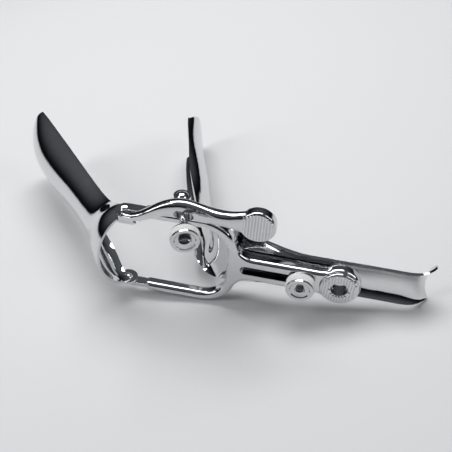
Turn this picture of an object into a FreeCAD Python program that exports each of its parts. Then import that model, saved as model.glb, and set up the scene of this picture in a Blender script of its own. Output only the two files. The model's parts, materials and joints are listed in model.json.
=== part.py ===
# Bivalve speculum (Graves pattern), in millimetres.
# It is modelled about the blade hinge: X runs down the handle, Y forward along the blades,
# Z towards the thumb lever. The whole is then laid on its side, as it rests on a table.
import FreeCAD
import Part
import math
import os

Vector = FreeCAD.Vector
Z = Vector(0, 0, 1)

# Blade hinge
ear_outer = 25.6            # half the width over the ears of the upper blade
ear_radius = 5.6
hinge_gap = 0.1             # side play between an ear and its tongue
rivet_radius = 1.5
rivet_head_radius = 2.6
rivet_head_height = 1.5
rivet_foot_height = 0.7
rivet_seat_play = 0.2       # the flat cut for a rivet's head is this much larger than the head
pivot_play = 0.05           # radial clearance of every turning or sliding round fit

# Sheet of the two blades
sheet = 1.3

# Upper blade
upper_open = 43.0           # degrees that it stands open in this pose
hoop_depth = 19.0
hoop_reach = 6.0            # how far the hoop reaches past the hinge towards the tip
hoop_back = 3.5             # and the other way
hoop_ease = 0.6             # how much the hoop has drawn in by then
upper_neck_at = 30.0
upper_neck_half = 16.2
upper_neck_depth = 14.0
upper_length = 125.0        # hinge to tip
upper_half = 18.4
upper_depth = 15.0
upper_tip_depth = 8.5
tip_round = 17.0            # length over which a blade's tip is rounded
tip_draw = 0.6              # a blade is this much narrower at its tip
tip_thin = 1.0              # and this much shallower where the rounding starts
neck_swell = 1.2            # the upper blade's neck is this much wider towards the hoop

# Lower blade and handle, one sheet
lower_lean = 16.5           # degrees that the lower blade leans towards the upper one
lower_length = 118.0        # bend to tip
lower_half = 18.0
lower_depth = 11.5
lower_tip_depth = 6.0
lower_root_depth = 8.0      # depth of the trough where it meets the bend
lower_neck_half = 17.0
bend_x = 47.0               # where the back of the lower blade meets the handle plane
bend_radius = 8.0
shoulder_half = 19.0        # flared top of the handle
shoulder_ease = 0.8         # how much the sheet has flared where the bend starts
bend_depths = (5.0, 2.6)    # depth of the trough at a third and two thirds of the bend
handle_half = 12.3
channel_depth = 4.0
flat_depth = 1.0            # slight hollow left at the bend
channel_from = 100.0        # from here on the handle is a full channel
handle_end = 154.0          # where the end starts to curl
curl_radius = 11.0
curl_angle = 68.0
channel_open = 62.0         # half the angle that the handle's arc spans

# Frame casting
arm_thick = 5.5             # across the arms, in Z
frame_depth = 7.0           # operator face to back, in Y
tongue_thick = 2.5
tongue_half = 2.7
shoulder_x = 12.0           # where a tongue meets its arm
ring_end = 57.0             # inner end of the ring
ring_corner = 15.0
slide_arm_half = 7.6
rib_half = 5.0              # back of the sliding arm, which rides in the channel
channel_gap = 0.3
rim_gap = 1.3               # the frame clears the rims of the channel by this much
pad_at = 118.6
pad_radius = 11.6
pad_rise = 1.6
pad_edge = 1.2
pad_fillet = 9.0            # rounding between the sliding arm and its pad
pad_well_radius = 4.6       # round well in the pad for the finger's tip
pad_well_depth = 4.0
pad_step = 0.9              # the raised face is this much smaller than the arm's round end
slot_half = 2.8
slot_from = 64.5
slot_spare = 1.4            # room for the stud past its place in this pose
neck_fillet = 10.0          # rounding between the ring and the sliding arm
edge_round = 2.2
bite = 1.0                  # how far a piece reaches into the one that it is fused with
through = 80.0              # a cutter this long passes through any piece

# Angle lock: lug on the far arm, pinned screw rod, knurled nut
lug_x = 30.0
lug_y = 4.0
lug_radius = 4.9
rod_level = 36.6            # height of the screw rod above the mid plane
rod_eye_radius = 4.6
rod_eye_thick = 4.2
rod_radius = 2.2
rod_length = 34.0
rod_tilt = 16.0             # degrees from straight out, towards the handle
pin_radius = 1.6
pin_head_radius = 3.3
pin_head_height = 1.5
bead_radius = 3.3
bead_length = 3.0
spigot_radius = 1.3
spigot_length = 1.8
angle_nut_radius = 7.8
angle_nut_thick = 6.6
nut_end_room = 0.8          # gap between the bead and the floor of the nut's dish

# Thumb lever
lever_front = 7.4           # its root lies this far in front of the hinge axis
lever_eye_out = 6.6         # its eye this far
lever_waist_out = 8.0       # its waist this far
lever_pad_out = 8.8         # and the middle of its thickness at the pad this far
lever_level = 38.5          # height of the eye and the pad above the mid plane
lever_waist_drop = 0.6      # the waist lies this much lower
lever_root_half = 2.2
lever_root_rise = 0.2       # the band's curve stays this much off the ear, its foot fills the rest
lever_thick_half = 3.3
lever_eye_half = 5.6
lever_waist_half = 4.2
lever_shoulder_x = 22.0     # where the lever has risen past the frame's arm
lever_waist_from_pad = 17.0
lever_pad_x = 72.0
lever_pad_radius = 9.2
lever_pad_thick = 6.2
lever_pad_edge = 1.2
lever_pad_play = 0.15       # the band stays this much within the pad's thickness
lever_squareness = 2.8      # 2 gives an oval section, more a squarer one
lever_slot_half = 2.6
lever_slot_reach = 5.0
tab_from = -2.0             # tab of the far ear that carries the lever's root
tab_to = 8.5
tab_reach = 9.6
tab_corner = 2.5

# Width lock: stud in the handle, knurled nut
stud_x = 98.0
stud_radius = 2.4
stud_head_radius = 4.6
stud_head_height = 1.1
stud_end_rise = 1.0         # height of the dome on its outer end
stud_tail = 2.4             # how far the stud stands out of its nut
width_nut_radius = 8.0
width_nut_thick = 7.6
nut_chamfer = 0.7
nut_boss_height = 0.8
nut_boss_radius = 4.6
nut_dish = 0.6
nut_dish_radius = 5.6

# Planes that the pieces share
frame_front = -frame_depth / 2
frame_back = frame_depth / 2
rim_y = frame_back + rim_gap
channel_floor = rim_y + channel_depth - sheet
sheet_back = channel_floor + sheet
ear_inner = ear_outer - sheet
tongue_inner = ear_outer + hinge_gap
tongue_outer = tongue_inner + tongue_thick
arm_inner = tongue_inner - (arm_thick - tongue_thick) / 2
arm_outer = arm_inner + arm_thick
lug_top = rod_level - rod_eye_thick / 2 - hinge_gap
pin_foot = arm_inner + 2 * bite
angle_nut_at = rod_length - nut_end_room - angle_nut_thick + nut_dish
slot_to = stud_x + slot_half + slot_spare


def heading(degrees_from_y):
    """Unit vector in XY, turned from +Y towards -X."""
    turn = math.radians(degrees_from_y)
    return Vector(-math.sin(turn), math.cos(turn), 0)


def spline(points):
    curve = Part.BSplineCurve()
    curve.interpolate(points)
    return curve.toShape()


def channel_wire(floor, back, half, depth, open_angle=90.0):
    """Outline across a bent sheet. floor is the middle of its back, back the way that faces."""
    span = math.radians(open_angle)
    drop = 1 - math.cos(span)
    outer = []
    inner = []
    for step in range(11):
        u = span * (step / 5 - 1)
        across = half * math.sin(u) / math.sin(span)
        down = depth * (math.cos(u) - 1) / drop
        slope_across = half * math.cos(u) / math.sin(span)
        slope_down = -depth * math.sin(u) / drop
        size = math.hypot(slope_across, slope_down)
        normal = Z * (-slope_down / size) + back * (slope_across / size)
        point = floor + Z * across + back * down
        outer.append(point)
        inner.append(point - normal * sheet)
    inner.reverse()
    ends = [Part.makeLine(outer[-1], inner[0]), Part.makeLine(inner[-1], outer[0])]
    return Part.Wire([spline(outer), ends[0], spline(inner), ends[1]])


def local_frame(origin, along_x, along_y):
    """Placement whose X and Y axes are the given unit vectors."""
    up = along_x.cross(along_y)
    matrix = FreeCAD.Matrix(
        along_x.x, along_y.x, up.x, origin.x,
        along_x.y, along_y.y, up.y, origin.y,
        along_x.z, along_y.z, up.z, origin.z,
        0, 0, 0, 1)
    return FreeCAD.Placement(matrix)


def round_tip(blade, tip, along, half):
    """Round the end of a blade in plan."""
    margin = 10
    height = 60
    block = Part.makeBox(2 * (half + margin), tip_round + margin, height, Vector(-half - margin, 0, 0))
    ellipse = Part.Ellipse(Vector(0, 0, 0), max(half, tip_round), min(half, tip_round)).toShape()
    oval = Part.Face(Part.Wire(ellipse)).extrude(Vector(0, 0, height))
    if tip_round > half:
        oval.rotate(Vector(0, 0, 0), Z, 90)
    cutter = block.cut(oval)
    start = tip - along * tip_round
    side = Z.cross(along)
    cutter.Placement = local_frame(start - side * height / 2, Z, along)
    return blade.cut(cutter)


def cylinder(centre, axis, radius, length):
    return Part.makeCylinder(radius, length, centre, axis)


def dome(centre, axis, radius, height):
    """Button of the given radius and height, flat side on centre."""
    ball = (radius * radius + height * height) / (2 * height)
    sphere = Part.makeSphere(ball, centre + axis * (height - ball))
    return sphere.common(cylinder(centre, axis, radius + 0.1, height + 0.1))


def edges_on_plane(shape, y):
    return [e for e in shape.Edges
            if all(abs(v.Y - y) < 1e-6 for v in e.Vertexes) and abs(e.CenterOfMass.y - y) < 1e-6]


def stadium(x_from, x_to, half, y_from, y_to):
    """Slot-shaped prism along X, through Y."""
    length = y_to - y_from
    middle = Part.makeBox(x_to - x_from - 2 * half, length, 2 * half, Vector(x_from + half, y_from, -half))
    ends = [cylinder(Vector(x, y_from, 0), Vector(0, 1, 0), half, length)
            for x in (x_from + half, x_to - half)]
    return middle.fuse(ends).removeSplitter()


def make_upper_blade():
    along = heading(upper_open)
    back = heading(upper_open + 90)
    stations = [
        (-hoop_back, ear_outer, hoop_depth),
        (0, ear_outer, hoop_depth),
        (hoop_reach, ear_outer - hoop_ease, hoop_depth - hoop_ease),
        (upper_neck_at * 0.45, (ear_outer + upper_neck_half) / 2, (hoop_depth + upper_neck_depth) / 2),
        (upper_neck_at * 0.72, upper_neck_half + neck_swell, upper_neck_depth + neck_swell * 0.75),
        (upper_neck_at, upper_neck_half, upper_neck_depth),
        (upper_length * 0.6, (upper_neck_half + upper_half) / 2, upper_depth),
        (upper_length - tip_round, upper_half, upper_depth - tip_thin),
        (upper_length, upper_half - tip_draw, upper_tip_depth),
    ]
    sections = [channel_wire(along * s + back * depth, back, half, depth) for s, half, depth in stations]
    body = Part.makeLoft(sections, True)
    body = round_tip(body, along * upper_length, along, upper_half)
    # a flat seat for each rivet's head, where the wall starts to curve away from the ear
    seat_radius = rivet_head_radius + rivet_seat_play
    seat_depth = 2 * rivet_head_height
    body = body.cut(cylinder(Vector(0, 0, ear_inner - seat_depth), Z, seat_radius, seat_depth))
    body = body.cut(cylinder(Vector(0, 0, -ear_inner), Z, seat_radius, seat_depth))
    # the loft bulges a little past the ears
    reach = 2 * upper_length
    between_ears = Part.makeBox(2 * reach, 2 * reach, 2 * ear_outer, Vector(-reach, -reach, -ear_outer))
    body = body.common(between_ears)
    ears = [cylinder(Vector(0, 0, z), Z, ear_radius, sheet) for z in (ear_inner, -ear_outer)]
    tab = Part.makeBox(tab_to - tab_from, tab_reach, sheet, Vector(tab_from, -tab_reach, ear_inner))
    corners = [e for e in tab.Edges if abs(e.CenterOfMass.y + tab_reach) < 1e-6 and len(e.Vertexes) == 2
               and abs(e.Vertexes[0].X - e.Vertexes[1].X) < 1e-6]
    tab = tab.makeFillet(tab_corner, corners)
    for piece in ears + [tab]:
        body = body.fuse(piece)
    for start in (ear_inner, -ear_outer):
        body = body.cut(cylinder(Vector(0, 0, start - sheet), Z, rivet_radius, 3 * sheet))
    return body


def lower_sections():
    """Stations of the lower sheet, from the tip of the blade to the end of the handle."""
    along = heading(lower_lean)
    facing_blade = heading(lower_lean - 90)
    hub = Vector(bend_x + bend_radius, sheet_back + bend_radius, 0)
    root = hub - facing_blade * bend_radius
    blade = [
        (lower_length, lower_half - tip_draw, lower_tip_depth),
        (lower_length - tip_round, lower_half, lower_depth - tip_thin),
        (lower_length * 0.6, lower_half - tip_draw / 2, lower_depth),
        (lower_length * 0.3, lower_neck_half, lower_depth),
        (lower_length * 0.13, lower_neck_half, lower_depth - tip_thin),
        (0, lower_neck_half + shoulder_ease, lower_root_depth),
    ]
    for s, half, depth in blade:
        yield channel_wire(root + along * s, facing_blade, half, depth, 80)
    bend = [
        (0.33, shoulder_half - 0.6, bend_depths[0]),
        (0.66, shoulder_half, bend_depths[1]),
        (1.0, shoulder_half, flat_depth),
    ]
    for share, half, depth in bend:
        facing = heading((lower_lean - 90) * (1 - share))
        yield channel_wire(hub - facing * bend_radius, facing, half, depth, channel_open)
    forward = Vector(0, 1, 0)
    taper = channel_from - hub.x
    steps = 6
    for step in range(1, steps + 1):
        share = step / steps
        ease = share * share * (3 - 2 * share)
        half = shoulder_half + (handle_half - shoulder_half) * ease
        depth = flat_depth + (channel_depth - flat_depth) * ease
        yield channel_wire(Vector(hub.x + taper * share, sheet_back, 0), forward, half, depth, channel_open)
    steps = 7
    for step in range(1, steps + 1):
        x = channel_from + (handle_end - channel_from) * step / steps
        yield channel_wire(Vector(x, sheet_back, 0), forward, handle_half, channel_depth, channel_open)
    curl_hub = Vector(handle_end, sheet_back + curl_radius, 0)
    steps = 4
    for step in range(1, steps + 1):
        facing = heading(curl_angle * step / steps)
        yield channel_wire(curl_hub - facing * curl_radius, facing, handle_half, channel_depth, channel_open)


def make_lower_blade():
    along = heading(lower_lean)
    sections = list(lower_sections())
    bend_end = 8                # the section where the bend meets the handle
    blade = Part.makeLoft(sections[:bend_end + 1], True)
    handle = Part.makeLoft(sections[bend_end:], True)
    body = blade.fuse(handle).removeSplitter()
    hub = Vector(bend_x + bend_radius, sheet_back + bend_radius, 0)
    root = hub - heading(lower_lean - 90) * bend_radius
    body = round_tip(body, root + along * lower_length, along, lower_half)
    return body.cut(cylinder(Vector(stud_x, 0, 0), Vector(0, 1, 0), stud_radius, through))


def channel_sag(z):
    """How far the floor of the handle's channel has risen at a distance z from its middle."""
    span = math.radians(channel_open)
    u = math.asin(z * math.sin(span) / handle_half)
    return channel_depth * (1 - math.cos(u)) / (1 - math.cos(span))


def hollow_blend(disc_x, disc_z, disc_radius, side, fillet):
    """Hollow curve from a round end to the sliding arm's edge; side is where the arm lies along X."""
    reach = disc_radius + fillet
    rise = slide_arm_half + fillet - disc_z
    run = math.sqrt(reach * reach - rise * rise)
    foot = Vector(disc_x + side * run, frame_front, slide_arm_half)
    share = disc_radius / reach
    touch = Vector(disc_x + side * run * share, frame_front, disc_z + rise * share)
    hub = foot + Z * fillet
    middle = hub + ((foot + touch) * 0.5 - hub).normalize() * fillet
    return touch, middle, foot


def make_slide_arm():
    """Sliding arm in one outline with its flare into the ring and its round end."""
    corner_radius = ring_corner + arm_thick
    corner_x = ring_end - ring_corner
    corner_z = arm_outer - corner_radius
    touch, middle, foot = hollow_blend(corner_x, corner_z, corner_radius, 1, neck_fillet)
    end_touch, end_middle, end_foot = hollow_blend(pad_at, 0, pad_radius, -1, pad_fillet)
    start = Vector(ring_end + arm_thick / 2, frame_front, touch.z)
    tip = Vector(pad_at + pad_radius, frame_front, 0)

    def across(point):
        return Vector(point.x, point.y, -point.z)

    edges = [
        Part.makeLine(start, touch),
        Part.Arc(touch, middle, foot).toShape(),
        Part.makeLine(foot, end_foot),
        Part.Arc(end_foot, end_middle, end_touch).toShape(),
        Part.Arc(end_touch, tip, across(end_touch)).toShape(),
        Part.Arc(across(end_touch), across(end_middle), across(end_foot)).toShape(),
        Part.makeLine(across(end_foot), across(foot)),
        Part.Arc(across(foot), across(middle), across(touch)).toShape(),
        Part.makeLine(across(touch), across(start)),
        Part.makeLine(across(start), start),
    ]
    arm = Part.Face(Part.Wire(edges)).extrude(Vector(0, frame_depth, 0))
    rims = [e for e in edges_on_plane(arm, frame_front) + edges_on_plane(arm, frame_back)
            if e.CenterOfMass.x > touch.x + 1e-6]
    return arm.makeFillet(edge_round - 0.1, rims)


def make_frame():
    outer_end = ring_end + arm_thick
    outer = Part.makeBox(outer_end - shoulder_x, frame_depth, 2 * arm_outer,
                         Vector(shoulder_x, frame_front, -arm_outer))
    inner = Part.makeBox(2 * ring_end, 2 * frame_depth, 2 * arm_inner,
                         Vector(-ring_end, -frame_depth, -arm_inner))

    def end_corners(box, x):
        return [e for e in box.Edges if all(abs(v.X - x) < 1e-6 for v in e.Vertexes)
                and abs(e.Vertexes[0].Z - e.Vertexes[1].Z) < 1e-6]

    outer = outer.makeFillet(ring_corner + arm_thick, end_corners(outer, outer_end))
    inner = inner.makeFillet(ring_corner, end_corners(inner, ring_end))
    loop = outer.cut(inner)
    loop = loop.makeFillet(edge_round, edges_on_plane(loop, frame_front) + edges_on_plane(loop, frame_back))

    slide = make_slide_arm()
    rib_back = channel_floor - channel_sag(rib_half + sheet / 2) - channel_gap
    rib = Part.makeBox(pad_at - ring_end - arm_thick, rib_back, 2 * rib_half,
                       Vector(ring_end + arm_thick, 0, -rib_half))
    pad_front = frame_front - pad_rise
    pad = cylinder(Vector(pad_at, pad_front, 0), Vector(0, 1, 0), pad_radius - pad_step, -pad_front)
    pad = pad.makeFillet(pad_edge, [e for e in pad.Edges if abs(e.CenterOfMass.y - pad_front) < 1e-6])

    tongues = []
    for z in (tongue_inner, -tongue_outer):
        bar = Part.makeBox(shoulder_x + 2 * bite, 2 * tongue_half, tongue_thick, Vector(0, -tongue_half, z))
        tongues.append(bar)
        tongues.append(cylinder(Vector(0, 0, z), Z, tongue_half, tongue_thick))
    lug_foot = arm_inner + bite
    lug = cylinder(Vector(lug_x, lug_y, lug_foot), Z, lug_radius, lug_top - lug_foot)
    body = loop.fuse([slide, rib, pad, lug] + tongues).removeSplitter()
    well_mouth = Vector(pad_at, pad_front - bite, 0)
    well = cylinder(well_mouth, Vector(0, 1, 0), pad_well_radius, pad_well_depth + bite)
    body = body.cut(well)
    body = body.cut(stadium(slot_from, slot_to, slot_half, -through / 2, through / 2))
    body = body.cut(cylinder(Vector(0, 0, -through / 2), Z, rivet_radius + pivot_play, through))
    return body.cut(cylinder(Vector(lug_x, lug_y, pin_foot), Z, pin_radius, through))


def make_hinge_rivet():
    """Rivet of the lever side; its domed head is on the inner face of the ear."""
    foot = tongue_outer + hinge_gap
    shank = cylinder(Vector(0, 0, ear_inner), Z, rivet_radius, foot - ear_inner)
    head = dome(Vector(0, 0, ear_inner), Z * -1, rivet_head_radius, rivet_head_height)
    tail = dome(Vector(0, 0, foot), Z, rivet_head_radius, rivet_foot_height)
    return shank.fuse([head, tail]).removeSplitter()


def rod_direction():
    turn = math.radians(rod_tilt)
    return Vector(math.sin(turn), -math.cos(turn), 0)


def rod_pivot():
    return Vector(lug_x, lug_y, rod_level)


def make_screw_rod():
    out = rod_direction()
    eye = cylinder(rod_pivot() - Z * rod_eye_thick / 2, Z, rod_eye_radius, rod_eye_thick)
    shaft = cylinder(rod_pivot(), out, rod_radius, rod_length)
    spigot = cylinder(rod_pivot() + out * rod_length, out, spigot_radius, spigot_length)
    body = eye.fuse([shaft, spigot]).removeSplitter()
    return body.cut(cylinder(rod_pivot() - Z * (through / 2), Z, pin_radius + pivot_play, through))


def make_rod_end_bead():
    out = rod_direction()
    start = rod_pivot() + out * rod_length
    skirt = bead_length / 2
    end = dome(start + out * skirt, out, bead_radius, bead_length - skirt)
    bead = cylinder(start, out, bead_radius, skirt).fuse(end)
    return bead.removeSplitter().cut(cylinder(start, out, spigot_radius, spigot_length))


def make_rod_pin():
    top = rod_level + rod_eye_thick / 2 + hinge_gap
    pin = cylinder(Vector(lug_x, lug_y, pin_foot), Z, pin_radius, top - pin_foot)
    return pin.fuse(dome(Vector(lug_x, lug_y, top), Z, pin_head_radius, pin_head_height)).removeSplitter()


def make_nut(start, out, radius, thick, bore):
    """Knurled nut from its seat outwards: boss, chamfered rim, shallow dish in the face."""
    rim_start = start + out * nut_boss_height
    rim = cylinder(rim_start, out, radius, thick - nut_boss_height)
    rim = rim.makeChamfer(nut_chamfer, [e for e in rim.Edges if e.Length > 6 * radius])
    boss = cylinder(start, out, nut_boss_radius, nut_boss_height)
    dish = cylinder(start + out * (thick - nut_dish), out, nut_dish_radius, nut_dish + bite)
    body = rim.fuse(boss).removeSplitter().cut(dish)
    return body.cut(cylinder(start - out * bite, out, bore, thick + 2 * bite))


def make_angle_nut():
    out = rod_direction()
    seat = rod_pivot() + out * angle_nut_at
    return make_nut(seat, out, angle_nut_radius, angle_nut_thick, rod_radius + pivot_play)


def make_width_nut():
    out = Vector(0, -1, 0)
    seat = Vector(stud_x, frame_front, 0)
    return make_nut(seat, out, width_nut_radius, width_nut_thick, stud_radius + pivot_play)


def make_lock_stud():
    out = Vector(0, -1, 0)
    tip = frame_front - width_nut_thick - stud_tail
    shaft = cylinder(Vector(stud_x, sheet_back, 0), out, stud_radius, sheet_back - tip - stud_end_rise)
    end = dome(Vector(stud_x, tip + stud_end_rise, 0), out, stud_radius, stud_end_rise)
    head = dome(Vector(stud_x, sheet_back, 0), Vector(0, 1, 0), stud_head_radius, stud_head_height)
    return shaft.fuse([end, head]).removeSplitter()


def lever_section(x, y, z, half_y, half_z):
    """Rounded oblong across the lever, its long axis in Z."""
    points = []
    for step in range(16):
        turn = math.radians(22.5 * step)
        power = lever_squareness
        square = (abs(math.cos(turn)) ** power + abs(math.sin(turn)) ** power) ** (-1 / power)
        points.append(Vector(x, y + half_y * math.cos(turn) * square, z + half_z * math.sin(turn) * square))
    curve = Part.BSplineCurve()
    curve.interpolate(points, PeriodicFlag=True)
    return Part.Wire(curve.toShape())


def lever_crossing():
    """Where the rod's axis meets the middle plane of the lever."""
    out = rod_direction()
    return rod_pivot() + out * ((lug_y + lever_eye_out) / -out.y)


def make_thumb_lever():
    eye_x = lever_crossing().x
    rise = lever_level - ear_outer
    waist_x = lever_pad_x - lever_waist_from_pad
    root_x = tab_from + 3 * bite
    flare_x = waist_x + lever_waist_from_pad * 0.35
    paddle_half = lever_pad_thick / 2 - lever_pad_play
    stations = [
        (root_x, lever_front, ear_outer + lever_root_rise + lever_root_half,
         lever_root_half, lever_root_half),
        (tab_to, lever_front, ear_outer + rise * 0.24, lever_root_half, lever_root_half * 1.2),
        ((tab_to + lever_shoulder_x) / 2, lever_front, ear_outer + rise * 0.55,
         lever_thick_half * 0.85, lever_waist_half * 0.85),
        (lever_shoulder_x, (lever_front + lever_eye_out) / 2, ear_outer + rise * 0.85,
         lever_thick_half * 0.95, lever_waist_half),
        (eye_x, lever_eye_out, lever_level, lever_thick_half, lever_eye_half),
        ((eye_x + waist_x) / 2, (lever_eye_out + lever_waist_out) / 2, lever_level - lever_waist_drop / 2,
         lever_thick_half, lever_waist_half * 1.1),
        (waist_x, lever_waist_out, lever_level - lever_waist_drop, lever_thick_half, lever_waist_half),
        (flare_x, lever_pad_out - lever_pad_play, lever_level - lever_waist_drop / 2,
         paddle_half, lever_waist_half * 1.3),
        (lever_pad_x - 0.75 * lever_pad_radius, lever_pad_out, lever_level,
         paddle_half, lever_pad_radius * 0.72),
        (lever_pad_x - 0.35 * lever_pad_radius, lever_pad_out, lever_level,
         paddle_half, lever_pad_radius * 0.93),
        (lever_pad_x, lever_pad_out, lever_level, paddle_half, lever_pad_radius * 0.96),
    ]
    sections = [lever_section(x, -y, z, half_y, half_z) for x, y, z, half_y, half_z in stations]
    stem = Part.makeLoft(sections, True)
    foot_half = lever_root_half
    foot = Part.makeBox(tab_to - tab_from - 2 * bite, 2 * foot_half, foot_half + bite,
                        Vector(tab_from + bite, -lever_front - foot_half, ear_outer))
    foot = foot.makeFillet(bite, [e for e in foot.Edges if abs(e.Vertexes[0].Z - e.Vertexes[1].Z) > bite])
    pad_back = -lever_pad_out + lever_pad_thick / 2
    pad_seat = Vector(lever_pad_x, pad_back, lever_level)
    pad = cylinder(pad_seat, Vector(0, -1, 0), lever_pad_radius, lever_pad_thick)
    pad = pad.makeFillet(lever_pad_edge, [e for e in pad.Edges if e.Length > 6 * lever_pad_radius])
    below = Part.makeBox(through, through, ear_outer, Vector(-through / 2, -through / 2, 0))
    slot = stadium(-lever_slot_reach, lever_slot_reach, lever_slot_half, -through / 2, through / 2)
    slot.rotate(Vector(0, 0, 0), Z, rod_tilt)
    slot.translate(lever_crossing())
    return stem.cut([below, slot]).fuse(foot).fuse(pad)


def resting_turn(groups):
    """Rotation that stands the lowest points of three groups on one level plane."""
    up = Z
    for step in range(8):
        feet = [min(points, key=lambda p: p.dot(up)) for points in groups]
        up = (feet[1] - feet[0]).cross(feet[2] - feet[0])
        up.normalize()
        if up.z < 0:
            up = up * -1
    return FreeCAD.Rotation(up, Z)


def surface_points(shape):
    return shape.tessellate(0.02)[0]


def build():
    far_rivet = make_hinge_rivet()
    pieces = {
        "lower_blade_and_handle": make_lower_blade(),
        "upper_blade": make_upper_blade(),
        "frame": make_frame(),
        "thumb_lever": make_thumb_lever(),
        "hinge_rivet_lever_side": far_rivet,
        "hinge_rivet_plain_side": far_rivet.mirror(Vector(0, 0, 0), Z),
        "angle_screw_rod": make_screw_rod(),
        "rod_end_bead": make_rod_end_bead(),
        "rod_pivot_pin": make_rod_pin(),
        "angle_nut": make_angle_nut(),
        "width_stud": make_lock_stud(),
        "width_nut": make_width_nut(),
    }
    sheet_points = surface_points(pieces["lower_blade_and_handle"])
    handle_points = [p for p in sheet_points if p.x > channel_from]
    blade_points = [p for p in sheet_points if p.y > lower_length / 2]
    turn = resting_turn([surface_points(pieces["frame"]), handle_points, blade_points])
    laid = {name: shape.copy() for name, shape in pieces.items()}
    for shape in laid.values():
        shape.Placement = FreeCAD.Placement(Vector(0, 0, 0), turn).multiply(shape.Placement)
    points = [p for shape in laid.values() for p in surface_points(shape)]
    box = FreeCAD.BoundBox()
    for point in points:
        box.add(point)
    shift = Vector(-box.Center.x, -box.Center.y, -box.ZMin)
    for shape in laid.values():
        shape.Placement = FreeCAD.Placement(shift, FreeCAD.Rotation()).multiply(shape.Placement)
    return laid, FreeCAD.Placement(shift, turn)


laid_pieces, rest_placement = build()
os.makedirs("parts", exist_ok=True)
for name, shape in laid_pieces.items():
    solids = shape.Solids
    state = "valid" if shape.isValid() else "NOT VALID"
    print(name, len(solids), "solid", round(shape.Volume, 1), "mm3", state)
    (solids[0] if len(solids) == 1 else shape).exportStep("parts/" + name + ".step")
print("rest placement", rest_placement)
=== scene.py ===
import json
import math

import bmesh
import bpy
from mathutils import Matrix, Vector


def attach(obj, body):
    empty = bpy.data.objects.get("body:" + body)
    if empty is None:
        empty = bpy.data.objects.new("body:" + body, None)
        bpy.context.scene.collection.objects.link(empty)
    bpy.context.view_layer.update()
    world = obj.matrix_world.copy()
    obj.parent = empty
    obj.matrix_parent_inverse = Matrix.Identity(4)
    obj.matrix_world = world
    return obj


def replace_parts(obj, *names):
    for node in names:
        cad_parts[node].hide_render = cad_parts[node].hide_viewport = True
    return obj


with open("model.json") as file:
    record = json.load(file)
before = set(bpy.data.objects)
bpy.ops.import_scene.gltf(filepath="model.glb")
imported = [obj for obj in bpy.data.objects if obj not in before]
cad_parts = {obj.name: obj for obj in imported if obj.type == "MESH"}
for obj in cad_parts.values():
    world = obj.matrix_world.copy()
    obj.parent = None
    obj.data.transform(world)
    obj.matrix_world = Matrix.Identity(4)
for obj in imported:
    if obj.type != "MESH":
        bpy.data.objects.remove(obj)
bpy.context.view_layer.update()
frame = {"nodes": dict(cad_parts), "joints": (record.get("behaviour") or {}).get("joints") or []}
print("frame loaded:", len(frame["nodes"]), "nodes")

mm = 0.001  # sizes on the instrument are in millimetres, the frame is in metres

# The instrument's own axes in the row frame, from the blades' hinge:
# X down the handle, Y forward along the blades, Z to the lever side
joints = {j["name"]: j for j in frame["joints"]}
alongHandle = Vector(joints["frame_slide"]["axis"]).normalized()
leverSide = Vector(joints["blade_hinge"]["axis"]).normalized()
forward = leverSide.cross(alongHandle).normalized()
hingePoint = Vector(joints["blade_hinge"]["pos_m"])
rodPivot = Vector(joints["rod_swing"]["pos_m"])
rodOut = Vector(joints["angle_nut_travel"]["axis"]).normalized()
studAlong = 98  # how far down the handle from the hinge the width stud stands


def spot(x, y, z):  # a point given in the instrument's millimetres
    return hingePoint + (alongHandle * x + forward * y + leverSide * z) * mm


def lay(mesh, origin, normal, side):  # places a mesh made in mm, with its Z axis along the normal
    normal = normal.normalized()
    side = (side - normal * side.dot(normal)).normalized()
    turn = Matrix((side, normal.cross(side), normal)).transposed().to_4x4()
    mesh.transform(Matrix.Translation(origin) @ turn @ Matrix.Scale(mm, 4))


def measuredRound(name, origin, axis):  # where a CAD node starts on an axis, and its sizes round it in mm
    solid = frame["nodes"][name]
    points = [solid.matrix_world @ v.co - origin for v in solid.data.vertices]
    along = [p.dot(axis) for p in points]
    away = [(p - axis * p.dot(axis)).length for p in points]
    return {"seat": origin + axis * min(along), "axis": axis, "thick": (max(along) - min(along)) / mm,
            "bore": min(away) / mm, "radius": max(away) / mm}


nuts = {
    "angle_nut": measuredRound("angle_nut", rodPivot, rodOut),
    "width_nut": measuredRound("width_nut", spot(studAlong, 0, 0), -forward),
}
print("nuts measured")

# Camera at the photograph's viewing angle: its place in the instrument's millimetres, its turns in degrees,
# its focal length and frame in the photograph's pixels
cameraPlan = {
    "pos": (89.3, -254.6, 246.8), "yaw": -7.76, "pitch": 40.63, "roll": 4.8, "focal": 649.5, "frame": 452,
    "sensor": 36, "clipStart": 10}


def makeCamera(plan):
    yaw, pitch, roll = (math.radians(plan[k]) for k in ("yaw", "pitch", "roll"))
    ahead = Vector((math.sin(yaw) * math.cos(pitch), math.cos(yaw) * math.cos(pitch), -math.sin(pitch)))
    right = Vector((math.cos(yaw), -math.sin(yaw), 0))
    up = right.cross(ahead)
    side = right * math.cos(roll) + up * math.sin(roll)
    top = up * math.cos(roll) - right * math.sin(roll)
    axes = Matrix((alongHandle, forward, leverSide)).transposed()
    data = bpy.data.cameras.new("camera")
    data.sensor_width = plan["sensor"]
    data.lens = plan["focal"] / plan["frame"] * data.sensor_width
    data.clip_start = plan["clipStart"] * mm
    cam = bpy.data.objects.new("camera", data)
    bpy.context.scene.collection.objects.link(cam)
    turn = (axes @ Matrix((side, top, -ahead)).transposed()).to_4x4()
    cam.matrix_world = Matrix.Translation(spot(*plan["pos"])) @ turn
    bpy.context.scene.camera = cam


makeCamera(cameraPlan)
print("camera placed")


# Materials
def linear(hexColour):  # an sRGB hex colour as linear values
    parts = [int(hexColour[i:i + 2], 16) / 255 for i in (1, 3, 5)]
    return tuple(c / 12.92 if c <= 0.04045 else ((c + 0.055) / 1.055) ** 2.4 for c in parts) + (1.0,)


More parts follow.
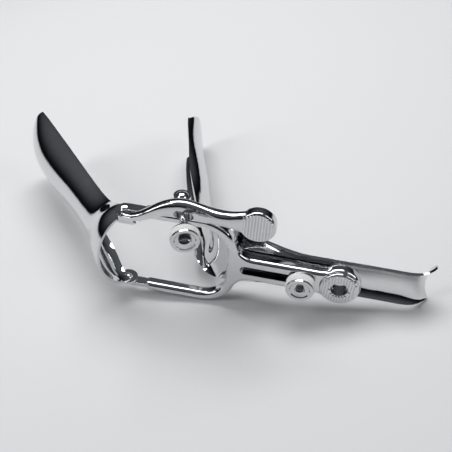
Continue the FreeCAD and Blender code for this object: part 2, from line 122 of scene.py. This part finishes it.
def addNode(tree, kind, settings=None, inputs=None):
    # an input is a value, a socket, or a node, whose first output is then linked
    node = tree.nodes.new(kind)
    for key, value in (settings or {}).items():
        setattr(node, key, value)
    for key, value in (inputs or {}).items():
        if isinstance(value, bpy.types.Node):
            value = value.outputs[0]
        if isinstance(value, bpy.types.NodeSocket):
            tree.links.new(value, node.inputs[key])
        else:
            node.inputs[key].default_value = value
    return node


def scaleFor(size):  # texture scale for a pattern of this size in mm
    return 1 / (size * mm)


scratchStretch = 40.0  # how many times longer than wide a scratch is


def steelMaterial(name, plan):
    mat = bpy.data.materials.new(name)
    mat.use_nodes = True
    tree = mat.node_tree
    tree.nodes.clear()
    place = addNode(tree, "ShaderNodeTexCoord").outputs["Object"]
    # slow waves that hand polishing leaves in sheet and castings
    waves = addNode(tree, "ShaderNodeTexNoise", None, {
        "Vector": place, "Scale": scaleFor(plan["wave"]), "Detail": 1.0, "Roughness": 0.4})
    # faint cloudiness from wiping and handling
    haze = addNode(tree, "ShaderNodeTexNoise", None, {
        "Vector": place, "Scale": scaleFor(plan["haze"]), "Detail": 5.0, "Roughness": 0.6})
    hazeRange = addNode(tree, "ShaderNodeMapRange", {"clamp": True}, {
        "Value": haze, "From Min": 0.35, "From Max": 0.7,
        "To Min": plan["roughness"][0], "To Max": plan["roughness"][1]})
    # hairline scratches in two directions, coarser than the real ones so that they show
    scratches = 0.0
    for turn in plan["scratchTurns"]:
        stretched = addNode(tree, "ShaderNodeMapping", {"vector_type": "TEXTURE"}, {
            "Vector": place, "Rotation": tuple(math.radians(a) for a in turn),
            "Scale": (1.0, scratchStretch, 1.0)})
        lines = addNode(tree, "ShaderNodeTexNoise", None, {
            "Vector": stretched, "Scale": scaleFor(plan["scratch"]), "Detail": 2.0})
        thin = addNode(tree, "ShaderNodeMapRange", {"clamp": True}, {
            "Value": lines, "From Min": 0.66, "From Max": 0.76})
        scratches = addNode(tree, "ShaderNodeMath", {"operation": "MAXIMUM"}, {0: scratches, 1: thin})
    rough = addNode(tree, "ShaderNodeMath", {"operation": "MULTIPLY_ADD"}, {
        0: scratches, 1: plan["scratchRough"], 2: hazeRange})
    for rub in plan.get("rubs", ()):  # a dulled patch where another piece slides or clamps
        offset = addNode(tree, "ShaderNodeVectorMath", {"operation": "DISTANCE"}, {0: place, 1: rub["at"]})
        worn = addNode(tree, "ShaderNodeMapRange", {"clamp": True, "interpolation_type": "SMOOTHSTEP"}, {
            "Value": offset.outputs["Value"], "From Min": rub["core"] * mm, "From Max": rub["radius"] * mm,
            "To Min": rub["rough"], "To Max": 0.0})
        rough = addNode(tree, "ShaderNodeMath", {"operation": "MULTIPLY_ADD"}, {0: haze, 1: worn, 2: rough})
    tint = addNode(tree, "ShaderNodeMix", {"data_type": "RGBA"}, {
        "Factor": haze, "A": linear(plan["colours"][0]), "B": linear(plan["colours"][1])})
    # broken edges: what a polisher leaves on every rim catches a thin line of light
    edges = addNode(tree, "ShaderNodeBevel", {"samples": 4}, {"Radius": plan["edge"] * mm})
    relief = addNode(tree, "ShaderNodeBump", None, {
        "Height": waves, "Strength": 1.0, "Distance": plan["waveDepth"] * mm, "Normal": edges})
    cut = addNode(tree, "ShaderNodeBump", {"invert": True}, {
        "Height": scratches, "Strength": 0.6, "Distance": plan["scratchDepth"] * mm, "Normal": relief})
    shader = addNode(tree, "ShaderNodeBsdfPrincipled", None, {
        "Base Color": tint.outputs["Result"], "Metallic": 1.0, "Roughness": rough, "Normal": cut})
    addNode(tree, "ShaderNodeOutputMaterial", None, {"Surface": shader})
    return mat


# Mirror-polished 304 stainless sheet: sharp reflections that swim a little where the buffing wheel dwelt
bladeSteel = steelMaterial("mirrorPolishedStainlessSheet", {
    "colours": ("#D3D5D6", "#DCDDDD"), "roughness": (0.035, 0.09),
    "wave": 14.0, "waveDepth": 0.03, "haze": 7.0, "edge": 0.25,
    "scratch": 0.5, "scratchDepth": 0.004, "scratchRough": 0.10,
    "scratchTurns": ((0, 0, 20), (0, 35, -58))})
# Polished stainless casting: same shine, softer edges of the reflections, dulled where the width nut clamps
castSteel = steelMaterial("polishedStainlessCasting", {
    "colours": ("#CFD1D2", "#D9DADB"), "roughness": (0.05, 0.12),
    "wave": 9.0, "waveDepth": 0.04, "haze": 5.0, "edge": 0.4,
    "scratch": 0.45, "scratchDepth": 0.005, "scratchRough": 0.12,
    "scratchTurns": ((0, 0, 75), (0, 20, -15)),
    "rubs": ({"at": nuts["width_nut"]["seat"], "core": 6.6, "radius": 11.0, "rough": 0.25},)})
# Turned stainless bar: finer, a little greyer from the tool marks
turnedSteel = steelMaterial("turnedStainlessBar", {
    "colours": ("#C6C8C9", "#D4D5D6"), "roughness": (0.08, 0.16),
    "wave": 4.0, "waveDepth": 0.015, "haze": 3.0, "edge": 0.15,
    "scratch": 0.35, "scratchDepth": 0.004, "scratchRough": 0.12,
    "scratchTurns": ((0, 0, 40), (30, 0, 0))})
# Knurled stainless: base colour darker than the rest, as painted shade for the small shadows between the
# teeth
knurlSteel = steelMaterial("knurledStainless", {
    "colours": ("#8E9195", "#A8ABAF"), "roughness": (0.12, 0.24),
    "wave": 3.0, "waveDepth": 0.01, "haze": 2.0, "edge": 0.05,
    "scratch": 0.3, "scratchDepth": 0.003, "scratchRough": 0.10,
    "scratchTurns": ((0, 0, 10), (0, 25, 0))})

finishes = {
    "lower_blade_and_handle": bladeSteel, "upper_blade": bladeSteel,
    "frame": castSteel, "thumb_lever": castSteel,
    "hinge_rivet_lever_side": turnedSteel, "hinge_rivet_plain_side": turnedSteel,
    "angle_screw_rod": turnedSteel, "rod_end_bead": bladeSteel, "rod_pivot_pin": turnedSteel,
    "angle_nut": turnedSteel, "width_stud": turnedSteel, "width_nut": turnedSteel,
}
for name, node in frame["nodes"].items():
    node.data.materials.clear()
    node.data.materials.append(finishes[name])
print("materials on the CAD nodes")


# Geometry-node trees
def newTree(name, sizes):  # a tree with one number input for each size
    tree = bpy.data.node_groups.new(name, "GeometryNodeTree")
    tree.interface.new_socket("Geometry", in_out="INPUT", socket_type="NodeSocketGeometry")
    for label, value in sizes.items():
        kind = "NodeSocketInt" if isinstance(value, int) else "NodeSocketFloat"
        tree.interface.new_socket(label, in_out="INPUT", socket_type=kind).default_value = value
    tree.interface.new_socket("Material", in_out="INPUT", socket_type="NodeSocketMaterial")
    tree.interface.new_socket("Geometry", in_out="OUTPUT", socket_type="NodeSocketGeometry")
    return tree, addNode(tree, "NodeGroupInput").outputs


def endTree(tree, shape, material):  # makes the shape real, gives it its material and puts it out
    real = addNode(tree, "GeometryNodeRealizeInstances", None, {"Geometry": shape})
    done = addNode(tree, "GeometryNodeSetMaterial", None, {"Geometry": real, "Material": material})
    addNode(tree, "NodeGroupOutput", None, {0: done})
    return tree


def bake(name, tree, values, material):  # runs a tree on an empty mesh and keeps the plain mesh
    holder = bpy.data.objects.new(name, bpy.data.meshes.new(name + "Seed"))
    bpy.context.scene.collection.objects.link(holder)
    mod = holder.modifiers.new("tree", "NODES")
    mod.node_group = tree
    sockets = {i.name: i.identifier for i in tree.interface.items_tree
               if i.item_type == "SOCKET" and i.in_out == "INPUT"}
    for label, value in values.items():
        mod[sockets[label]] = value
    mod[sockets["Material"]] = material
    graph = bpy.context.evaluated_depsgraph_get()
    mesh = bpy.data.meshes.new_from_object(holder.evaluated_get(graph), depsgraph=graph)
    bpy.data.objects.remove(holder)
    return mesh


def makeKnurlTree():  # diamond teeth on two grids of points round a rim, the second turned by half a tooth
    tree, size = newTree("diamondKnurl", {
        "Radius": 7.4, "Columns": 52, "Steps": 5, "Start": 0.8, "Length": 4.0,
        "Tooth Width": 0.9, "Height": 0.4})
    rowStep = addNode(tree, "ShaderNodeMath", {"operation": "DIVIDE"}, {0: size["Length"], 1: size["Steps"]})
    halfStep = addNode(tree, "ShaderNodeMath", {"operation": "MULTIPLY"}, {0: rowStep, 1: 0.5})
    halfTurn = addNode(tree, "ShaderNodeMath", {"operation": "DIVIDE"}, {0: math.pi, 1: size["Columns"]})
    ring = addNode(tree, "GeometryNodeMeshCylinder", {"fill_type": "NONE"}, {
        "Vertices": size["Columns"], "Side Segments": size["Steps"], "Radius": size["Radius"],
        "Depth": size["Length"]})
    middle = addNode(tree, "ShaderNodeMath", {"operation": "MULTIPLY_ADD"}, {
        0: size["Length"], 1: 0.5, 2: size["Start"]})
    lift = addNode(tree, "ShaderNodeCombineXYZ", None, {"Z": middle})
    first = addNode(tree, "GeometryNodeTransform", None, {"Geometry": ring, "Translation": lift})
    # the second grid has one step less, so it stays between the rows of the first
    fewer = addNode(tree, "ShaderNodeMath", {"operation": "SUBTRACT"}, {0: size["Steps"], 1: 1.0})
    shorter = addNode(tree, "ShaderNodeMath", {"operation": "SUBTRACT"}, {0: size["Length"], 1: rowStep})
    between = addNode(tree, "GeometryNodeMeshCylinder", {"fill_type": "NONE"}, {
        "Vertices": size["Columns"], "Side Segments": fewer, "Radius": size["Radius"], "Depth": shorter})
    turn = addNode(tree, "ShaderNodeCombineXYZ", None, {"Z": halfTurn})
    second = addNode(tree, "GeometryNodeTransform", None, {
        "Geometry": between, "Translation": lift, "Rotation": turn})
    points = addNode(tree, "GeometryNodeJoinGeometry")
    for grid in (first, second):
        tree.links.new(grid.outputs[0], points.inputs[0])
    cone = addNode(tree, "GeometryNodeMeshCone", {"fill_type": "NONE"}, {
        "Vertices": 4, "Side Segments": 1, "Radius Top": 0.0, "Radius Bottom": 1.0, "Depth": 1.0})
    tooth = addNode(tree, "GeometryNodeTransform", None, {"Geometry": cone, "Rotation": (0, math.pi / 2, 0)})
    at = addNode(tree, "ShaderNodeSeparateXYZ", None, {0: addNode(tree, "GeometryNodeInputPosition")})
    angle = addNode(tree, "ShaderNodeMath", {"operation": "ARCTAN2"}, {
        0: at.outputs["Y"], 1: at.outputs["X"]})
    spin = addNode(tree, "ShaderNodeCombineXYZ", None, {"Z": angle})
    stretch = addNode(tree, "ShaderNodeCombineXYZ", None, {
        "X": size["Height"], "Y": size["Tooth Width"], "Z": halfStep})
    placed = addNode(tree, "GeometryNodeInstanceOnPoints", None, {
        "Points": points, "Instance": tooth, "Rotation": spin, "Scale": stretch})
    return endTree(tree, placed, size["Material"])


flankShare = 0.42  # half a ridge's width, as a share of the pitch


def makeRidgeTree():  # straight round-topped ridges over a round pad, in two halves that leave a well free
    tree, size = newTree("padRidges", {"Count": 9, "Pitch": 1.6, "Radius": 8.0, "Well": 0.0, "Height": 0.6})
    gaps = addNode(tree, "ShaderNodeMath", {"operation": "SUBTRACT"}, {0: size["Count"], 1: 1.0})
    span = addNode(tree, "ShaderNodeMath", {"operation": "MULTIPLY"}, {0: gaps, 1: size["Pitch"]})
    start = addNode(tree, "ShaderNodeMath", {"operation": "MULTIPLY"}, {0: span, 1: -0.5})
    first = addNode(tree, "ShaderNodeCombineXYZ", None, {"X": start})
    step = addNode(tree, "ShaderNodeCombineXYZ", None, {"X": size["Pitch"]})
    line = addNode(tree, "GeometryNodeMeshLine", None, {
        "Count": size["Count"], "Start Location": first, "Offset": step})
    at = addNode(tree, "ShaderNodeSeparateXYZ", None, {0: addNode(tree, "GeometryNodeInputPosition")})
    across = addNode(tree, "ShaderNodeMath", {"operation": "MULTIPLY"}, {
        0: at.outputs["X"], 1: at.outputs["X"]})
    ends = []
    for label in ("Radius", "Well"):  # half the chord of each circle at this ridge, none outside it
        square = addNode(tree, "ShaderNodeMath", {"operation": "MULTIPLY"}, {0: size[label], 1: size[label]})
        left = addNode(tree, "ShaderNodeMath", {"operation": "SUBTRACT"}, {0: square, 1: across})
        real = addNode(tree, "ShaderNodeMath", {"operation": "MAXIMUM"}, {0: left, 1: 0.0})
        ends.append(addNode(tree, "ShaderNodeMath", {"operation": "SQRT"}, {0: real}))
    length = addNode(tree, "ShaderNodeMath", {"operation": "SUBTRACT"}, {0: ends[0], 1: ends[1]})
    half = addNode(tree, "ShaderNodeMath", {"operation": "MULTIPLY"}, {0: length, 1: 0.5})
    middle = addNode(tree, "ShaderNodeMath", {"operation": "ADD"}, {0: ends[1], 1: half})
    bar = addNode(tree, "GeometryNodeMeshCylinder", None, {"Vertices": 10, "Radius": 1.0, "Depth": 2.0})
    lying = addNode(tree, "GeometryNodeTransform", None, {"Geometry": bar, "Rotation": (math.pi / 2, 0, 0)})
    flank = addNode(tree, "ShaderNodeMath", {"operation": "MULTIPLY"}, {0: size["Pitch"], 1: flankShare})
    stretch = addNode(tree, "ShaderNodeCombineXYZ", None, {"X": flank, "Y": half, "Z": size["Height"]})
    placed = addNode(tree, "GeometryNodeJoinGeometry")
    for side in (1.0, -1.0):
        shift = addNode(tree, "ShaderNodeMath", {"operation": "MULTIPLY"}, {0: middle, 1: side})
        offset = addNode(tree, "ShaderNodeCombineXYZ", None, {"Y": shift})
        moved = addNode(tree, "GeometryNodeSetPosition", None, {"Geometry": line, "Offset": offset})
        bars = addNode(tree, "GeometryNodeInstanceOnPoints", None, {
            "Points": moved, "Instance": lying, "Scale": stretch})
        tree.links.new(bars.outputs[0], placed.inputs[0])
    return endTree(tree, placed, size["Material"])


def makeThreadTree():  # one helical ridge round a rod
    tree, size = newTree("screwThread", {"Radius": 2.1, "Pitch": 0.8, "Length": 20.0, "Depth": 0.2})
    turns = addNode(tree, "ShaderNodeMath", {"operation": "DIVIDE"}, {0: size["Length"], 1: size["Pitch"]})
    helix = addNode(tree, "GeometryNodeCurveSpiral", None, {
        "Resolution": 24, "Rotations": turns, "Start Radius": size["Radius"], "End Radius": size["Radius"],
        "Height": size["Length"]})
    profile = addNode(tree, "GeometryNodeCurvePrimitiveCircle", {"mode": "RADIUS"}, {
        "Resolution": 4, "Radius": size["Depth"]})
    ridge = addNode(tree, "GeometryNodeCurveToMesh", None, {
        "Curve": helix, "Profile Curve": profile, "Fill Caps": True})
    return endTree(tree, ridge, size["Material"])


knurl = makeKnurlTree()
ridges = makeRidgeTree()
thread = makeThreadTree()
print("trees built")


def addPiece(name, mesh, body):  # a visible piece that rides on a body
    piece = bpy.data.objects.new(name, mesh)
    bpy.context.scene.collection.objects.link(piece)
    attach(piece, body)
    return piece


def shadeSmooth(mesh, sharpAngle):  # smooth, except at edges that turn by more than this many degrees
    mesh.polygons.foreach_set("use_smooth", [True] * len(mesh.polygons))
    mesh.set_sharp_from_angle(angle=math.radians(sharpAngle))


def turnedMesh(name, profile, material, steps):  # closed profile of (radius, height) turned round Z
    bm = bmesh.new()
    angles = [2 * math.pi * k / steps for k in range(steps)]
    rings = [[bm.verts.new((r * math.cos(a), r * math.sin(a), z)) for a in angles] for r, z in profile]
    for low, high in zip(rings, rings[1:] + rings[:1]):
        for k in range(steps):
            after = (k + 1) % steps
            bm.faces.new((low[k], low[after], high[after], high[k]))
    bmesh.ops.recalc_face_normals(bm, faces=bm.faces)
    mesh = bpy.data.meshes.new(name)
    bm.to_mesh(mesh)
    bm.free()
    mesh.materials.append(material)
    return mesh


def joined(name, meshes):  # one mesh of several, each with one material
    bm = bmesh.new()
    made = bpy.data.meshes.new(name)
    for place, mesh in enumerate(meshes):
        start = len(bm.faces)
        bm.from_mesh(mesh)
        bm.faces.ensure_lookup_table()
        for face in bm.faces[start:]:
            face.material_index = place
        made.materials.append(mesh.materials[0])
    bm.to_mesh(made)
    bm.free()
    return made


# The two knurled nuts, in millimetres from the seat outwards, with teeth a little coarser than the real ones
nutShape = {
    "chamfer": 0.7, "tooth": 0.5, "sink": 0.02, "columns": 40, "rowStep": 1.1, "bossHeight": 0.8,
    "bossRadius": 4.6, "dish": 0.6, "dishRadius": 5.6, "throat": 0.35, "steps": 96, "sharpAngle": 28}


def nutProfile(nut, shape):  # boss, chamfered rim and dished face, as (radius, height)
    rim, thick, bore = nut["radius"], nut["thick"], nut["bore"]
    root = rim - shape["tooth"]
    chamfer, throat = shape["chamfer"], shape["throat"]
    seat, floor = shape["bossHeight"], thick - shape["dish"]
    return [
        (bore, throat), (bore + throat, 0.0), (shape["bossRadius"], 0.0), (shape["bossRadius"], seat),
        (rim - chamfer, seat), (root, seat + chamfer), (root, thick - chamfer), (rim - chamfer, thick),
        (shape["dishRadius"], thick), (shape["dishRadius"] - shape["dish"], floor),
        (bore + throat, floor), (bore, floor - throat)]


def nutTeeth(name, nut, shape):  # rows of teeth between the rim's two chamfers
    root = nut["radius"] - shape["tooth"]
    inset = shape["chamfer"] + shape["rowStep"] / 2
    start = shape["bossHeight"] + inset
    length = nut["thick"] - inset - start
    return bake(name + "Teeth", knurl, {
        "Radius": root - shape["sink"], "Columns": shape["columns"],
        "Steps": round(length / shape["rowStep"]), "Start": start, "Length": length,
        "Tooth Width": math.pi * root / shape["columns"],
        "Height": shape["tooth"] + shape["sink"]}, knurlSteel)


for name, nut in nuts.items():
    core = turnedMesh(name + "Core", nutProfile(nut, nutShape), turnedSteel, nutShape["steps"])
    shadeSmooth(core, nutShape["sharpAngle"])
    mesh = joined(name + "Knurled", [core, nutTeeth(name, nut, nutShape)])
    lay(mesh, nut["seat"], nut["axis"], leverSide)
    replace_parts(addPiece(name + "Knurled", mesh, name), name)
print("knurled nuts made")

# Ridges across the two thumb pads, in the instrument's millimetres
pads = {
    "leverPadRidges": {"body": "upper_jaw", "slot": "thumb_lever", "at": (72, -11.9, 38.5), "count": 10,
                       "pitch": 1.5, "radius": 8.1, "well": 0.0, "height": 0.5, "sharpAngle": 50},
    "slidePadRidges": {"body": "frame", "slot": "frame", "at": (118.6, -5.1, 0), "count": 12,
                       "pitch": 1.5, "radius": 9.6, "well": 5.3, "height": 0.5, "sharpAngle": 50},
}
for name, pad in pads.items():
    mesh = bake(name, ridges, {
        "Count": pad["count"], "Pitch": pad["pitch"], "Radius": pad["radius"], "Well": pad["well"],
        "Height": pad["height"]}, castSteel)
    shadeSmooth(mesh, pad["sharpAngle"])
    lay(mesh, spot(*pad["at"]), -forward, alongHandle)
    addPiece(name, mesh, pad["body"])
print("pad ridges made")

# Threads of the screw rod and of the width stud's tail, in millimetres from the pivot and the handle
threads = {
    "rodThread": {"body": "screw_rod", "slot": "angle_screw_rod", "origin": rodPivot, "axis": rodOut,
                  "start": 10.0, "length": 23.6, "radius": 2.08, "pitch": 0.8, "depth": 0.16},
    "studThread": {"body": "base", "slot": "width_stud", "origin": spot(studAlong, 0, 0), "axis": -forward,
                   "start": 9.5, "length": 2.9, "radius": 2.28, "pitch": 0.8, "depth": 0.16},
}
for name, screw in threads.items():
    mesh = bake(name, thread, {
        "Radius": screw["radius"], "Pitch": screw["pitch"], "Length": screw["length"],
        "Depth": screw["depth"]}, turnedSteel)
    lay(mesh, screw["origin"] + screw["axis"] * screw["start"] * mm, screw["axis"], leverSide)
    addPiece(name, mesh, screw["body"])
print("threads made")

# Matt pale paper, in metres, with painted shade: its colour goes from pale to dark away from the middle,
# outside the camera's view;
# polished steel shows the painted shade as darker bands
floorPlan = {
    "reach": 3.0, "drop": 0.0002, "fallStart": 0.3, "fallEnd": 1.1, "pale": "#D6D7D8", "shade": "#4A4C50",
    "roughness": 0.8}


def makeFloor(plan):
    reach = plan["reach"]
    mesh = bpy.data.meshes.new("floor")
    mesh.from_pydata([(-reach, -reach, 0), (reach, -reach, 0), (reach, reach, 0), (-reach, reach, 0)], [],
                     [(0, 1, 2, 3)])
    paper = bpy.data.materials.new("palePaperFloorPaintedShade")
    paper.use_nodes = True
    tree = paper.node_tree
    away = addNode(tree, "ShaderNodeVectorMath", {"operation": "LENGTH"}, {
        0: addNode(tree, "ShaderNodeTexCoord").outputs["Object"]})
    # painted shade: the paper's colour darkens with distance from the middle
    fall = addNode(tree, "ShaderNodeMapRange", {"clamp": True, "interpolation_type": "SMOOTHSTEP"}, {
        "Value": away.outputs["Value"], "From Min": plan["fallStart"], "From Max": plan["fallEnd"]})
    tone = addNode(tree, "ShaderNodeMix", {"data_type": "RGBA"}, {
        "Factor": fall, "A": linear(plan["pale"]), "B": linear(plan["shade"])})
    shader = tree.nodes["Principled BSDF"]
    tree.links.new(tone.outputs["Result"], shader.inputs["Base Color"])
    shader.inputs["Roughness"].default_value = plan["roughness"]
    mesh.materials.append(paper)
    floor = bpy.data.objects.new("floor", mesh)
    floor.location.z = -plan["drop"]
    bpy.context.scene.collection.objects.link(floor)


makeFloor(floorPlan)
print("floor laid")

# Soft studio light, in metres and watts: a large lamp above, narrow ones at the sides for long highlights
lamps = {
    "softTop": {"at": (-0.1, 0.35, 0.9), "size": (0.9, 0.45), "power": 9.0},
    "softLeft": {"at": (-0.75, -0.35, 0.75), "size": (0.25, 0.8), "power": 3.5},
    "softRight": {"at": (0.9, -0.2, 0.6), "size": (0.3, 0.8), "power": 2.0},
}
for name, lamp in lamps.items():
    data = bpy.data.lights.new(name, "AREA")
    data.shape = "RECTANGLE"
    data.size, data.size_y = lamp["size"]
    data.energy = lamp["power"]
    light = bpy.data.objects.new(name, data)
    light.location = lamp["at"]
    light.rotation_euler = (-Vector(lamp["at"])).to_track_quat("-Z", "Y").to_euler()
    bpy.context.scene.collection.objects.link(light)
print("lamps hung")

# A dim studio all round, darkest towards the horizon, which gives polished steel its dark reflections
studioPlan = {"low": 0.05, "high": 0.8, "horizon": "#0E0F11", "ceiling": "#5A5C60", "strength": 1.0}


def makeStudio(plan):
    world = bpy.data.worlds.new("studio")
    world.use_nodes = True
    tree = world.node_tree
    tree.nodes.clear()
    way = addNode(tree, "ShaderNodeSeparateXYZ", None, {
        0: addNode(tree, "ShaderNodeTexCoord").outputs["Generated"]})
    height = addNode(tree, "ShaderNodeMapRange", {"clamp": True, "interpolation_type": "SMOOTHSTEP"}, {
        "Value": way.outputs["Z"], "From Min": plan["low"], "From Max": plan["high"]})
    tone = addNode(tree, "ShaderNodeMix", {"data_type": "RGBA"}, {
        "Factor": height, "A": linear(plan["horizon"]), "B": linear(plan["ceiling"])})
    light = addNode(tree, "ShaderNodeBackground", None, {
        "Color": tone.outputs["Result"], "Strength": plan["strength"]})
    addNode(tree, "ShaderNodeOutputWorld", None, {"Surface": light})
    bpy.context.scene.world = world


makeStudio(studioPlan)
bpy.context.scene.view_settings.view_transform = "Standard"
print("studio set")
